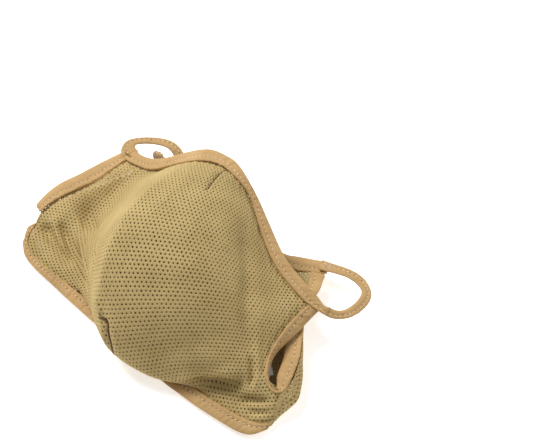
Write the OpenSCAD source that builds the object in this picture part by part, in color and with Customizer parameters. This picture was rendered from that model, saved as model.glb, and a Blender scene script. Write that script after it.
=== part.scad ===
// Half-face mask: a short tube of perforated mesh knit, lying on its back panel
// with the moulded face cup up. Millimetres. +X runs across the face, +Y runs
// from the chin hem to the nose edge, +Z is the way the wearer faces.
// The origin is on the resting surface, at the middle of the footprint.

/* [Fabric] */
// Thickness of the mesh knit
mesh_t = 0.9; // [0.6:0.1:1.2]
// Width of the folded binding tape round the nose edge and the ear slits
binding_w = 9.5; // [8:0.5:10.5]
// Width of the folded hem tape
hem_w = 12; // [10:0.5:13]
// Thickness of a binding tape, four layers
binding_t = 2.2; // [1.6:0.1:2.4]
// Width of the ear loop tape
loop_w = 8; // [6:0.5:9]

/* [Stitching] */
// Diameter of the topstitch thread
thread_d = 0.8; // [0.6:0.1:1.0]
// Length of a bartack at a loop end
bartack_l = 8; // [6:0.5:9]

/* [Label] */
// Length of the blank size label
label_l = 15; // [12:0.5:16]
// Width of the blank size label
label_w = 10; // [8:0.5:11]

/* [Back panel] */
// Half the width of the flat middle of the back panel
back_half = 40; // [36:1:44]

/* [Resolution] */
// Steps across the face panel
face_nu = 36; // [24:2:44]
// Steps up the face panel
face_nv = 28; // [20:2:36]

/* [Hidden] */

origin_shift = [0.2, 7, 0];   // puts the origin at the middle of the footprint
tan_mesh = [0.73, 0.63, 0.42];
tan_tape = [0.78, 0.63, 0.42];
thread_c = [0.36, 0.24, 0.16];
label_c = [0.80, 0.82, 0.84];

// ---------------------------------------------------------------- functions
function unit(a) = a / max(norm(a), 1e-6);
function spl(a, b, c, d, t) =
    0.5 * (2*b + (c - a)*t + (2*a - 5*b + 4*c - d)*t*t + (3*b - a - 3*c + d)*t*t*t);
function at(P, k) = let(n = len(P) - 1)
    k < 0 ? 2*P[0] - P[1] : k > n ? 2*P[n] - P[n-1] : P[k];
// Point on a smooth curve through the list P, t from 0 to len(P) - 1
function curve(P, t) = let(n = len(P) - 1, i = max(0, min(floor(t), n - 1)), f = t - i)
    spl(at(P, i-1), at(P, i), at(P, i+1), at(P, i+2), f);
// Point on a smooth surface through the rows of N
function surf(N, u, v) = curve([for (r = N) curve(r, u)], v);
// Surface normal, pointing away from the wearer's skin
function nrm(N, u, v) = let(h = 0.02)
    unit(cross(surf(N, u+h, v) - surf(N, u-h, v), surf(N, u, v+h) - surf(N, u, v-h)));
// Evenly stepped points on a curve
function along(P, n) = [for (i = [0:n]) curve(P, (len(P) - 1)*i/n)];
function tangent(Q, i) = unit(Q[min(i+1, len(Q)-1)] - Q[max(i-1, 0)]);

// ------------------------------------------------------------ control points
// Face panel: rows run from the chin hem to the nose edge, left to right.
FACE = [
 [[-118,-44,7],[-112,-59,5],[-82,-65,5],[-46,-65,4],[4,-68,4],[48,-69,4],[84,-68,5],[112,-65,6],[122,-54,7]],
 [[-121,-34,11],[-108,-42,9],[-84,-52,9],[-46,-66,8],[4,-86,12],[46,-82,12],[78,-60,10],[104,-54,12],[117,-42,16]],
 [[-119,-22,13],[-106,-30,12],[-84,-40,10],[-42,-60,26],[-2,-88,32],[40,-76,30],[72,-58,24],[92,-50,20],[104,-41,22]],
 [[-114,-10,14],[-104,-20,13],[-86,-28,12],[-44,-48,48],[-8,-68,58],[32,-58,52],[64,-46,38],[86,-40,28],[98,-34,24]],
 [[-109,1,16],[-101,-8,14],[-86,-14,14],[-46,-24,60],[-14,-36,74],[26,-32,66],[60,-28,48],[81,-28,33],[93,-22,25]],
 [[-105,12,17],[-98,6,16],[-84,4,18],[-50,4,60],[-18,-2,77],[20,-2,70],[54,-8,50],[76,-10,36],[90,-8,26]],
 [[-103,24,19],[-94,22,18],[-78,24,24],[-50,28,57],[-20,30,71],[14,28,64],[46,16,46],[72,4,35],[89,7,26]],
 [[-101,37,20],[-86,38,22],[-68,41,31],[-48,48,50],[-20,56,61],[8,54,53],[37,37,41],[66,24,33],[90,21,28]]];

// Side panels: rows from the hem up, columns from the flat back to the slit.
SIDE_R = [
 [[41,-58,0.9],[80,-57,0.9],[112,-55,1.0],[125,-50,3.4],[122.5,-50,6.2]],
 [[41,-42,0.9],[80,-42,0.9],[112,-40,1.4],[126,-40,8],[119,-40,14.6]],
 [[41,-20,0.9],[78,-20,0.9],[106,-20,2],[124,-28,10],[117,-28,18]],
 [[41,2,0.9],[74,2,0.9],[98,0,2.5],[113,-6,10],[106,-4,18]],
 [[41,26,0.9],[68,26,1.0],[84,26,3],[98,18,9],[93,18,16]],
 [[41,48,1.4],[58,50,4],[70,54,8],[78,57,12],[82,53,13]]];
SIDE_L = [
 [[-118.5,-41,6],[-121,-45,3.2],[-104,-55,1],[-76,-57,0.9],[-41,-58,0.9]],
 [[-121.5,-33,9],[-124,-35,5.4],[-106,-38,1],[-76,-40,0.9],[-41,-40,0.9]],
 [[-122,-19,6.4],[-118,-18,3.4],[-100,-16,1],[-74,-18,0.9],[-41,-18,0.9]],
 [[-114,2,6.2],[-109,3,3.6],[-94,5,1],[-70,4,0.9],[-41,4,0.9]],
 [[-103,27,6],[-97,28,3.6],[-84,30,1.4],[-66,28,0.9],[-41,28,0.9]],
 [[-94,52,8],[-87,55,6],[-76,55,4],[-62,51,2.4],[-41,48,1.4]]];

// Nose binding: its sewn edge follows the panel; this is its free edge.
NOSE_FREE = [[-108,43,20],[-98,48,22],[-85,49,25],[-75,52,30],[-63,55,40],[-42,65,54],
             [-24,68,58],[-10,67,57],[10,60,50],[28,52,43],[46,43,37],[66,35,34],[90,30.5,30.5],[103,27,28.5]];
NOSE_SEWN = [[-101.5,38,20.4],[-94,38,21.5],[-82,38.8,24],[-72,40.8,29.5],[-60,44.5,39.5],[-40,51.5,55],
             [-24,55.8,61],[-11,56.8,60.4],[8,54.8,53.2],[22,47,47.2],[38,37,41],[58,27.4,35.2],[80,22.6,30.6],[91,21.6,28.4]];

// Ear slit bindings, front top corner down to the slit end and up the back.
EAR_R_SEWN = [[91.6,20,27.4],[90.6,7,26],[91.8,-8,25.6],[94.4,-21.4,24.6],[99.4,-32.6,23.6],[105.8,-38.2,21.6],[112.8,-39.4,18.8],
              [117.4,-38,17],[116.8,-29.6,18.6],[111.6,-15,19.2],[105,-3,18.4],[92,18,16.4],[84.4,39,15],[80,52,14]];
EAR_R_FREE = [[98,23,23.6],[97.5,12,21.5],[96.5,-2,19],[95,-16,17.4],[97.4,-27.4,16.2],[102.4,-35.4,15.6],[108,-38.6,15],
              [110.8,-36.6,15],[108.4,-29,16],[103.6,-17,16.4],[96.4,-5,15.6],[84,14,14],[75.4,36,12],[71.4,49,10.6]];
EAR_L_SEWN = [[-102.4,38,19.4],[-104.6,24,18.6],[-107,12,17],[-111,1,16],[-116,-10,14.4],[-121,-22,13],[-123,-30.4,11.4],
              [-123.4,-28.6,9.2],[-123,-19,7],[-115.4,2,6.8],[-104.6,27,6.6],[-95.4,50,8.4]];
EAR_L_FREE = [[-110.4,41,18.8],[-114.5,29,18.4],[-118.6,16,17.6],[-123,3,16.4],[-127.4,-8,14.8],[-130.4,-18,13],[-131,-25.4,11],
              [-131,-24.4,8.8],[-130.6,-14,7],[-124,7,6.4],[-113.4,31,6.4],[-104,53.4,8]];

// Hem tape, left fold to right fold, sewn edge and free edge.
HEM_SEWN = [[-110.6,-60.4,4.6],[-96,-66,4.6],[-74,-66.8,4.4],[-46,-66.6,3.2],[4,-69,3],[48,-70.4,3],[84,-69.6,4],[104,-68,4.8],[114,-65,5.4]];
HEM_FREE = [[-109,-66.6,4],[-98,-70.6,3.4],[-74,-73,3.2],[-46,-75,2.9],[4,-78,2.8],[48,-79.6,2.8],[80,-78.4,3],[102,-75.6,3.4],[114.6,-72,4]];
HEM_R_SEWN = [[114.6,-64.8,5.4],[120.4,-59,6.2],[123.8,-52,6.4],[126,-50.8,4.4],[122.4,-53.6,2.4],[113,-57,1.5],[80,-58.8,1.1],[41,-59.4,1.1]];
HEM_R_FREE = [[115.2,-71.8,4],[121,-65.8,4.6],[125.4,-57.4,5.4],[127.6,-58.2,3.4],[122.6,-63,1.9],[114,-66.6,1.2],[80,-69.6,1],[41,-70.4,1]];
HEM_L_SEWN = [[-41,-59.4,1.1],[-76,-58.8,1.1],[-104,-57,1.4],[-116,-51.4,2.2],[-121.4,-46,3.8],[-119.4,-44.2,6],[-116.4,-53,5.4],[-111.4,-60.2,4.6]];
HEM_L_FREE = [[-41,-70.4,1],[-76,-69.6,1],[-104,-66,1.1],[-116,-60,1.4],[-122.6,-51.6,3],[-121.4,-50,5.6],[-117,-58.6,4.6],[-110,-66.2,4]];

// Nape binding ends, flat back out to the top corners.
NAPE_R_SEWN = [[41,48.8,2.2],[50,49.8,3.6],[58,50.8,5],[66,54,7.6],[72,56,9.6]];
NAPE_R_FREE = [[41,58,2.2],[48,60.4,4],[56,62.8,6.6],[64,64.4,9.8],[70,66,12]];
NAPE_L_SEWN = [[-41,48.8,2.2],[-52,50.2,2.8],[-62,52.2,3.6],[-76,56,5],[-86,56,7]];
NAPE_L_FREE = [[-41,58,2.2],[-52,59.4,3],[-64,61.4,4],[-78,65,6],[-90,64.6,8.6]];

// Ear loops, front anchor to back anchor, outer and inner edges.
LOOP_R_OUT = [[107.6,23,28],[113,26,26.4],[119,35,24],[121,47,22],[119,58,20],[113.5,65,18.4],[105,69.6,17],[96,70.6,16.4],[87,69.2,15.8],[77,66.4,14.6]];
LOOP_R_IN  = [[105.6,29.6,28],[109.5,31.8,26.4],[112.6,38,24.4],[113.6,48,22.4],[112,56,20.6],[108,60.4,19],[101,62.6,18],[94.4,62.8,17.4],[88,61.4,16.6],[79,58.6,15.2]];
LOOP_L_OUT = [[-112.6,45,20.6],[-114.6,53,20.4],[-110,60.6,20],[-102.6,68,19.4],[-94,74.4,18.4],[-85.4,77,16.6],[-77,75.6,13.6],[-71.6,70.6,10]];
LOOP_L_IN  = [[-106,48.4,20.8],[-106.4,53.4,20.6],[-103,57.6,20.2],[-97,62.6,19.6],[-90,67.4,18.8],[-84.6,69.4,17],[-80,68.4,14],[-77.6,65.4,10.4]];

// ------------------------------------------------------------------ builders
// A cloth shell of thickness t under the surface N, n steps by m steps
module shell(N, n, m, t) {
    U = len(N[0]) - 1; V = len(N) - 1; w = n + 1;
    top = [for (j = [0:m]) for (i = [0:n]) surf(N, U*i/n, V*j/m)];
    low = [for (j = [0:m]) for (i = [0:n]) surf(N, U*i/n, V*j/m) - t*nrm(N, U*i/n, V*j/m)];
    k = w*(m + 1);
    polyhedron(points = concat(top, low), faces = concat(
        [for (j = [0:m-1]) for (i = [0:n-1]) let(a = j*w + i) for (f = [[a, a+w+1, a+1], [a, a+w, a+w+1]]) f],
        [for (j = [0:m-1]) for (i = [0:n-1]) let(a = k + j*w + i) for (f = [[a, a+1, a+w+1], [a, a+w+1, a+w]]) f],
        [for (i = [0:n-1]) for (f = [[i, i+1, k+i+1], [i, k+i+1, k+i]]) f],
        [for (i = [0:n-1]) let(a = m*w + i) for (f = [[a, k+a+1, a+1], [a, k+a, k+a+1]]) f],
        [for (j = [0:m-1]) let(a = j*w) for (f = [[a, k+a, k+a+w], [a, k+a+w, a+w]]) f],
        [for (j = [0:m-1]) let(a = j*w + n) for (f = [[a, k+a+w, k+a], [a, a+w, k+a+w]]) f]),
        convexity = 8);
}

// A closed strip between the edges A and B, thickness t about them
module tape(A, B, n, t) {
    P = along(A, n); Q = along(B, n);
    N = [for (i = [0:n]) unit(cross(tangent(P, i) + tangent(Q, i), P[i] - Q[i]))];
    pts = [for (i = [0:n]) for (c = [P[i] + t/2*N[i], Q[i] + t/2*N[i], Q[i] - t/2*N[i], P[i] - t/2*N[i]]) c];
    sweep4(pts, n);
}

module sweep4(pts, n) {
    polyhedron(points = pts, faces = concat(
        [[0, 1, 2], [0, 2, 3]],
        [for (i = [0:n-1]) for (k = [0:3]) let(a = 4*i + k, b = 4*i + (k + 1)%4) for (f = [[a, a+4, b+4], [a, b+4, b]]) f],
        [[4*n, 4*n+2, 4*n+1], [4*n, 4*n+3, 4*n+2]]), convexity = 8);
}

// A four-sided thread of diameter d along the list of points P
module thread(P, d) {
    n = len(P) - 1;
    pts = [for (i = [0:n]) let(t = tangent(P, i), s = unit(cross(t, [0.02, 0.01, 1])), r = cross(s, t))
        for (c = [P[i] + d/2*s, P[i] + d/2*r, P[i] - d/2*s, P[i] - d/2*r]) c];
    sweep4(pts, n);
}

// Points a share f of the way from edge A to edge B, lifted by h
function between(A, B, f, h, n) = let(P = along(A, n), Q = along(B, n))
    [for (i = [0:n]) P[i] + f*(Q[i] - P[i]) + h*unit(cross(tangent(P, i) + tangent(Q, i), P[i] - Q[i]))];

module placed() { translate(origin_shift) children(); }

// ------------------------------------------------------------- back, on table
module back_panel() {
    color(tan_mesh) placed() linear_extrude(mesh_t)
        polygon([[-back_half, -58], [back_half, -58], [back_half, 48], [20, 45.5], [0, 44.5], [-20, 45.5], [-back_half, 48]]);
}

module centre_back_seam() {
    color(thread_c) placed() translate([0, 0, mesh_t]) linear_extrude(0.6) translate([-1.2, -57]) square([2.4, 100]);
}

module nape_binding() {
    color(tan_tape) placed() linear_extrude(binding_t)
        polygon([[-back_half, 48.6], [-20, 46.1], [0, 45.1], [20, 46.1], [back_half, 48.6],
                 [back_half, 48.6 + binding_w], [20, 46.1 + binding_w], [0, 45.1 + binding_w],
                 [-20, 46.1 + binding_w], [-back_half, 48.6 + binding_w]]);
}

module back_hem() {
    color(tan_tape) placed() linear_extrude(1.8)
        polygon([[-back_half, -59.2], [-back_half, -59.2 - hem_w], [back_half, -59.2 - hem_w], [back_half, -59.2]]);
}

// ------------------------------------------------------------------ the face
module face_panel() { color(tan_mesh) placed() shell(FACE, face_nu, face_nv, mesh_t); }
module side_panel_left() { color(tan_mesh) placed() shell(SIDE_L, 20, 14, 0.5); }
module side_panel_right() { color(tan_mesh) placed() shell(SIDE_R, 20, 14, 0.5); }

module nose_binding() { color(tan_tape) placed() tape(NOSE_SEWN, NOSE_FREE, 52, binding_t); }
module nape_end_left() { color(tan_tape) placed() tape(NAPE_L_FREE, NAPE_L_SEWN, 14, binding_t); }
module nape_end_right() { color(tan_tape) placed() tape(NAPE_R_SEWN, NAPE_R_FREE, 14, binding_t); }
module ear_binding_left() { color(tan_tape) placed() tape(EAR_L_SEWN, EAR_L_FREE, 44, 1.6); }
module ear_binding_right() { color(tan_tape) placed() tape(EAR_R_SEWN, EAR_R_FREE, 52, 1.6); }
module front_hem() { color(tan_tape) placed() tape(HEM_FREE, HEM_SEWN, 32, 1.4); }
module hem_end_left() { color(tan_tape) placed() tape(HEM_L_FREE, HEM_L_SEWN, 28, 1.4); }
module hem_end_right() { color(tan_tape) placed() tape(HEM_R_FREE, HEM_R_SEWN, 28, 1.4); }

function dart(u0, v0, u1, v1, h, n) = [for (i = [0:n]) let(u = u0 + (u1-u0)*i/n, v = v0 + (v1-v0)*i/n)
    surf(FACE, u, v) + h*nrm(FACE, u, v)];
module nose_dart() { color(thread_c) placed() thread(dart(4.25, 6.9, 4.1, 6.0, 0.85, 10), 1.4); }
module chin_dart() { color(thread_c) placed() thread(dart(3.9, 2.1, 4.1, 0.9, 1.0, 12), 1.6); }

// The points of P from number a to number b
function part(P, a, b) = [for (i = [a:b]) P[i]];
module nose_topstitch() { color(thread_c) placed() thread(part(between(NOSE_SEWN, NOSE_FREE, 0.25, -1.6, 56), 4, 52), thread_d); }
module hem_topstitch() { color(thread_c) placed() thread(part(between(HEM_FREE, HEM_SEWN, 0.62, -1.2, 40), 1, 39), thread_d); }
module ear_topstitch_left() { color(thread_c) placed() thread(between(EAR_L_SEWN, EAR_L_FREE, 0.25, 1.35, 44), thread_d); }
module ear_topstitch_right() { color(thread_c) placed() thread(part(between(EAR_R_SEWN, EAR_R_FREE, 0.25, -1.35, 52), 3, 49), thread_d); }

// Zigzag of thread across a loop end, from p to q, w wide
module bartack(p, q, w) {
    s = w/2*unit(cross(q - p, [0, 0, 1]));
    thread([for (i = [0:14]) p + (q - p)*i/14 + (i%2 == 0 ? s : -s)], thread_d);
}
module front_bartack_left() { color(thread_c) placed() bartack([-107.6, 43, 22.4], [-107.6, 43, 22.4] + bartack_l*[0.86, -0.5, 0.05], 2); }
module front_bartack_right() { color(thread_c) placed() bartack([100.6, 27, 30.4], [100.6, 27, 30.4] + bartack_l*[-0.72, -0.68, 0.02], 2); }
module back_bartack_left() { color(thread_c) placed() bartack([-79, 66.4, 8.2], [-79, 66.4, 8.2] + bartack_l*[0.2, -0.97, -0.1], 2); }
module back_bartack_right() { color(thread_c) placed() bartack([66.4, 63, 12], [66.4, 63, 12] + bartack_l*[0.2, -0.97, -0.1], 2); }

module tape_tail_left() { color(tan_tape) placed() tape([[-91,57,12],[-92,57,15],[-92,57.6,18],[-91,58.6,20]], [[-84,58,12],[-84,58,15],[-84,58.6,18],[-83.4,60,20]], 6, 0.9); }
module tape_tail_right() { color(tan_tape) placed() tape([[72,65,12],[74,65.8,12.4],[77,66.4,12.6]], [[73.4,57.4,11],[75.4,58.2,11.4],[78.4,58.8,11.6]], 4, 0.9); }

// ----------------------------------------------------------------- the loops
module left_ear_loop() { color(tan_tape) placed() tape(LOOP_L_IN, LOOP_L_OUT, 36, binding_t); }
module right_ear_loop() { color(tan_tape) placed() tape(LOOP_R_IN, LOOP_R_OUT, 40, binding_t); }

// ----------------------------------------------------------------- the label
module label_place() { placed() translate([88, -24, 12]) rotate([0, 0, -40]) children(); }
module size_label() { color(label_c) label_place() translate([0.6, -label_w/2, 0]) cube([label_l - 0.6, label_w, 0.4]); }
module label_stitch() { color(thread_c) label_place() translate([-0.8, -label_w/2, -0.2]) cube([0.8, label_w, 0.8]); }

back_panel();
centre_back_seam();
nape_binding();
back_hem();
face_panel();
side_panel_left();
side_panel_right();
nose_binding();
nape_end_left();
nape_end_right();
ear_binding_left();
ear_binding_right();
front_hem();
hem_end_left();
hem_end_right();
nose_dart();
chin_dart();
nose_topstitch();
hem_topstitch();
ear_topstitch_left();
ear_topstitch_right();
front_bartack_left();
front_bartack_right();
back_bartack_left();
back_bartack_right();
tape_tail_left();
tape_tail_right();
left_ear_loop();
right_ear_loop();
size_label();
label_stitch();
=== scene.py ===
"""Looks of the half-face mask: perforated mesh knit, folded binding tape, real stitches."""
import math

import bpy
import numpy as np
from mathutils import Matrix, Vector


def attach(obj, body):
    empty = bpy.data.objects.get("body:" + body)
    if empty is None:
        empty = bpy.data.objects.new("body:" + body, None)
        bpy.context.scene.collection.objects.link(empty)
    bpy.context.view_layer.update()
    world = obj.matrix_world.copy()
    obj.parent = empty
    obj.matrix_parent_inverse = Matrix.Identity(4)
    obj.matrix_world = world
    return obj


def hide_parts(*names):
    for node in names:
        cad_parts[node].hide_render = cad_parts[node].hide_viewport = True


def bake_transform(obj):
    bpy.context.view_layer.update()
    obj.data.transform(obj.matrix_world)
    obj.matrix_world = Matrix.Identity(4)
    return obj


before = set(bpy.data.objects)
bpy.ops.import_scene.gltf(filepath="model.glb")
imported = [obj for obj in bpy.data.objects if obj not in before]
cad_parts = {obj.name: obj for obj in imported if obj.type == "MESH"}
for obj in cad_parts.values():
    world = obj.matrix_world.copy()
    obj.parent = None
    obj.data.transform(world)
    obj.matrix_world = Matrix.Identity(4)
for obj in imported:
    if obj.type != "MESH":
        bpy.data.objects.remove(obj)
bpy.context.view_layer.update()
MM = 0.001
SHIFT = np.array([0.2, 7.0, 0.0])
rng = np.random.default_rng(7)

# ------------------------------------------------------------------- camera
AZ, EL, DIST, FPX = math.radians(40), math.radians(54), 0.900, 1180.0
target = np.array([0.0104, 0.0797, 0.0])
back = np.array([math.sin(AZ) * math.cos(EL), -math.cos(AZ) * math.cos(EL), math.sin(EL)])
right = np.array([math.cos(AZ), math.sin(AZ), 0.0])
up = np.cross(back, right)
cam_data = bpy.data.cameras.new("camera")
cam_data.sensor_width = 36.0
cam_data.lens = FPX / 533.0 * 36.0
cam = bpy.data.objects.new("camera", cam_data)
bpy.context.scene.collection.objects.link(cam)
m = Matrix.Identity(4)
for k in range(3):
    m[k][0], m[k][1], m[k][2], m[k][3] = right[k], up[k], back[k], target[k] + DIST * back[k]
cam.matrix_world = m
bpy.context.scene.camera = cam


# ------------------------------------------------------- smooth interpolation
def spline_op(n):
    """Second derivatives of the natural cubic through n evenly spaced values."""
    a, b = np.zeros((n, n)), np.zeros((n, n))
    a[0, 0] = a[n - 1, n - 1] = 1.0
    for i in range(1, n - 1):
        a[i, i - 1], a[i, i], a[i, i + 1] = 1, 4, 1
        b[i, i - 1], b[i, i], b[i, i + 1] = 6, -12, 6
    return np.linalg.solve(a, b)


class Curve:
    def __init__(self, pts, shift=True):
        self.p = np.array(pts, float) + (SHIFT if shift else 0)
        self.m = spline_op(len(self.p)) @ self.p

    def ev(self, t):
        t = np.asarray(t, float)
        n = len(self.p)
        tc = np.clip(t, 0, n - 1)
        i = np.clip(np.floor(tc).astype(int), 0, n - 2)
        f = (tc - i)[:, None]
        a = 1 - f
        p, q = self.p, self.m
        val = a * p[i] + f * p[i + 1] + ((a**3 - a) * q[i] + (f**3 - f) * q[i + 1]) / 6
        der = p[i + 1] - p[i] + (-(3 * a * a - 1) * q[i] + (3 * f * f - 1) * q[i + 1]) / 6
        return val + (t - tc)[:, None] * der


class Surf:
    def __init__(self, net):
        self.g = np.array(net, float) + SHIFT
        self.r, self.c = self.g.shape[:2]
        self.dv = spline_op(self.r)
        self.mu = np.einsum("ij,rjk->rik", spline_op(self.c), self.g)

    def ev(self, u, v):
        """Point and the two tangents at (u, v), straight beyond the edges."""
        u, v = np.asarray(u, float).ravel(), np.asarray(v, float).ravel()
        uc, vc = np.clip(u, 0, self.c - 1), np.clip(v, 0, self.r - 1)
        i = np.clip(np.floor(uc).astype(int), 0, self.c - 2)
        f = (uc - i)[None, :, None]
        a = 1 - f
        g, q = self.g, self.mu
        rows = a * g[:, i] + f * g[:, i + 1] + ((a**3 - a) * q[:, i] + (f**3 - f) * q[:, i + 1]) / 6
        drow = g[:, i + 1] - g[:, i] + (-(3 * a * a - 1) * q[:, i] + (3 * f * f - 1) * q[:, i + 1]) / 6
        j = np.clip(np.floor(vc).astype(int), 0, self.r - 2)
        k = np.arange(len(u))
        h = (vc - j)[:, None]
        b = 1 - h

        def pick(r):
            mv = np.einsum("ij,jkc->ikc", self.dv, r)
            val = b * r[j, k] + h * r[j + 1, k] + ((b**3 - b) * mv[j, k] + (h**3 - h) * mv[j + 1, k]) / 6
            der = r[j + 1, k] - r[j, k] + (-(3 * b * b - 1) * mv[j, k] + (3 * h * h - 1) * mv[j + 1, k]) / 6
            return val, der

        p, pv = pick(rows)
        pu, _ = pick(drow)
        p = p + (u - uc)[:, None] * pu + (v - vc)[:, None] * pv
        return p, pu, pv


def unit(a):
    return a / np.maximum(np.linalg.norm(a, axis=-1, keepdims=True), 1e-9)


def smooth(x):
    x = np.clip(x, 0, 1)
    return x * x * (3 - 2 * x)


# ------------------------------------------------------------- control points
FACE = [
 [[-118,-44,7],[-112,-59,5],[-82,-65,5],[-46,-65,4],[4,-68,4],[48,-69,4],[84,-68,5],[112,-65,6],[122,-54,7]],
 [[-121,-34,11],[-108,-42,9],[-84,-52,9],[-46,-66,8],[4,-86,12],[46,-82,12],[78,-60,10],[104,-54,12],[117,-42,16]],
 [[-119,-22,13],[-106,-30,12],[-79.5,-41,10],[-42,-60,26],[-2,-88,32],[40,-76,30],[72,-58,24],[92,-50,20],[104,-41,22]],
 [[-114,-10,14],[-104,-20,13],[-80.5,-29,12],[-44,-48,48],[-8,-68,58],[32,-58,52],[64,-46,38],[86,-40,28],[98,-34,24]],
 [[-109,1,16],[-101,-8,14],[-80.5,-15,14],[-46,-24,60],[-14,-36,74],[26,-32,66],[60,-28,48],[81,-28,33],[93,-22,25]],
 [[-105,12,17],[-98,6,16],[-79.5,3,18],[-50,4,60],[-18,-2,77],[20,-2,70],[54,-8,50],[76,-10,36],[90,-8,26]],
 [[-103,24,19],[-94,22,18],[-78,24,24],[-50,28,57],[-20,30,71],[14,28,64],[46,16,46],[72,4,35],[89,7,26]],
 [[-101,37,20],[-86,38,22],[-68,41,31],[-48,48,50],[-20,56,61],[8,54,53],[37,37,41],[66,24,33],[90,21,28]]]
SIDE_R = [
 [[0,-59,0.8],[40,-59,0.8],[80,-58,0.8],[111,-56,1.2],[122,-55,3.2],[122,-54,6.6]],
 [[0,-42,0.8],[40,-42,0.8],[80,-42,0.8],[112,-40,1.4],[125.4,-41,8],[117,-42,15.4]],
 [[0,-20,0.8],[40,-20,0.8],[78,-20,0.8],[106,-20,2],[124,-28,10],[117,-28,18]],
 [[0,2,0.8],[40,2,0.8],[72,2,0.8],[94,-1,2.5],[108.5,-7,10.4],[106,-4,18]],
 [[0,26,0.8],[40,26,0.8],[64,25,0.9],[78,22,3],[88,16.5,9.6],[91,18,15.6]],
 [[0,44,0.9],[40,47,1.2],[56,50,3.6],[65,53,7],[71,55.4,10],[75,52.6,12.2]]]
SIDE_L = [
 [[-118,-44,6.6],[-118.8,-46.6,3.4],[-104,-56,1],[-76,-58,0.8],[-40,-59,0.8],[0,-59,0.8]],
 [[-120.6,-34,10.2],[-121.2,-35.4,5.6],[-106,-38,1],[-76,-40,0.8],[-40,-42,0.8],[0,-42,0.8]],
 [[-122,-19,6.4],[-118,-18,3.4],[-100,-16,1],[-74,-18,0.8],[-40,-20,0.8],[0,-20,0.8]],
 [[-114,2,6.2],[-109,3,3.6],[-94,5,1],[-70,4,0.8],[-40,2,0.8],[0,2,0.8]],
 [[-103,27,6],[-97,28,3.6],[-84,30,1.4],[-66,28,0.9],[-40,26,0.8],[0,26,0.8]],
 [[-94,52,8],[-87,55,6],[-76,55,4],[-62,51,2.4],[-40,47,1.2],[0,44,0.9]]]

NOSE_SEWN = [[-104.5,38,20.4],[-99,37,21],[-93,37.6,21.6],[-82,38.6,24],[-72,40.6,29.5],[-60,44.3,39.5],[-40,51.3,55],
             [-24,55.6,61.4],[-11,56.6,60.8],[8,54.6,53.6],[22,46.8,47.6],[38,36.8,41.2],[58,27.2,35.4],[80,22.4,30.8],[91,21.4,28.8],[107.2,22.6,28.2]]
NOSE_FREE = [[-100.5,49.5,21.8],[-98,48,22],[-93,47.6,22.8],[-84,49,25],[-75,52,30],[-63,55,40],[-42,65,54],
             [-24,68,58],[-10,67,57],[10,60,50],[28,52,43],[46,43,37],[66,35,34],[90,30.5,30.5],[100,28,29],[105.2,29.4,28.2]]
EAR_R_SEWN = [[91.5,24.5,27.6],[91,20,27.9],[90,7,26.6],[91.2,-8,26.2],[94,-21.6,25.2],[98.8,-33,24.2],[105,-39.6,22],[112,-42.4,18.8],
              [117.2,-38.6,17.4],[117,-29.8,18.8],[111.8,-15,19.4],[105.2,-3,18.6],[93.4,15,17.6],[86,27,19],[77,38.5,13.6],[72.3,47,11.6],[68.6,54,10.6]]
EAR_R_FREE = [[101.5,28.5,26.4],[99.5,24.6,26.2],[97.5,12,21.5],[96.5,-2,19],[95,-16,17.4],[97.4,-27.4,16.2],[102.4,-35.4,15.6],[108,-38.6,15],
              [110.8,-36.6,15],[106.2,-30.6,15.2],[101.2,-18.6,15.4],[94,-6.8,14.6],[85,11,13.6],[84,26,10.6],[85.6,39.8,14.6],[82.4,49,13.6],[79.8,56,13.2]]
EAR_L_SEWN = [[-101.6,39,19.8],[-104.2,24,19],[-106.6,12,17.4],[-110.6,1,16.4],[-115.6,-10,14.8],[-120.2,-24.5,13.6],[-121.4,-34.8,12.2],
              [-123.6,-32.6,9.4],[-123,-19,7],[-115.4,2,6.8],[-104.6,27,6.6],[-95.4,50,8.4]]
EAR_L_FREE = [[-109.8,42,19],[-114.5,29,18.4],[-118.6,16,17.6],[-123,3,16.4],[-127.4,-8,14.8],[-129.6,-20.8,13.2],[-129.4,-31.4,11.4],
              [-131,-28.8,8.8],[-130.6,-14,7],[-124,7,6.4],[-113.4,31,6.4],[-104,53.4,8]]
HEM_SEWN = [[-104,-57,1.6],[-116,-51.4,2.4],[-121.4,-46,3.8],[-119.4,-44.2,6.4],[-116.4,-53,5.8],[-110.6,-60.2,5.4],[-96,-65.4,5.6],[-74,-66.2,5.4],[-46,-66.2,4.4],
            [4,-69,3.4],[48,-70.2,4],[84,-68.6,5.4],[100,-66.9,6.2],[110,-64.9,6.5],[117,-62,6.5],[121.4,-58.2,6.3],[123,-55.4,4.6],[119.6,-54.8,2.6],[112,-56.6,1.7],[104,-57.6,1.4]]
HEM_FREE = [[-104,-66,1.3],[-116,-60,1.6],[-122.6,-51.6,3],[-121.4,-50,5.6],[-117,-58.6,4.8],[-109.4,-66.2,4.2],[-98,-70.6,3.8],[-74,-73,3.6],[-46,-75,3.4],
            [4,-78,3.2],[48,-79.6,3.4],[80,-78.4,3.8],[98,-76.6,4],[108,-75.2,4],[115,-72.8,4],[119.6,-68,4],[121.2,-62.4,3.4],[118,-62.8,2.1],[112,-66,1.4],[104,-67.4,1.2]]
BACKHEM_R_SEWN = [[0,-59.2,1.2],[30,-59.2,1.2],[60,-59,1.2],[90,-58.2,1.3],[105,-57.4,1.4]]
BACKHEM_R_FREE = [[0,-70.6,1.1],[30,-70.6,1.1],[60,-70.2,1.1],[90,-68.8,1.15],[105,-67.2,1.2]]
NAPE_R_SEWN = [[0,45.2,1.5],[20,46,1.5],[41,48.4,2],[50,49.6,3.6],[58,50.8,5],[66,53.6,7.6],[72,55.6,9.6],[78,57,12]]
NAPE_R_FREE = [[0,54.6,1.3],[20,55.4,1.4],[40,58,2.2],[48,60.4,4],[56,62.8,6.6],[64,64.4,9.8],[70,66,12],[75,66.6,13.6]]
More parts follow.
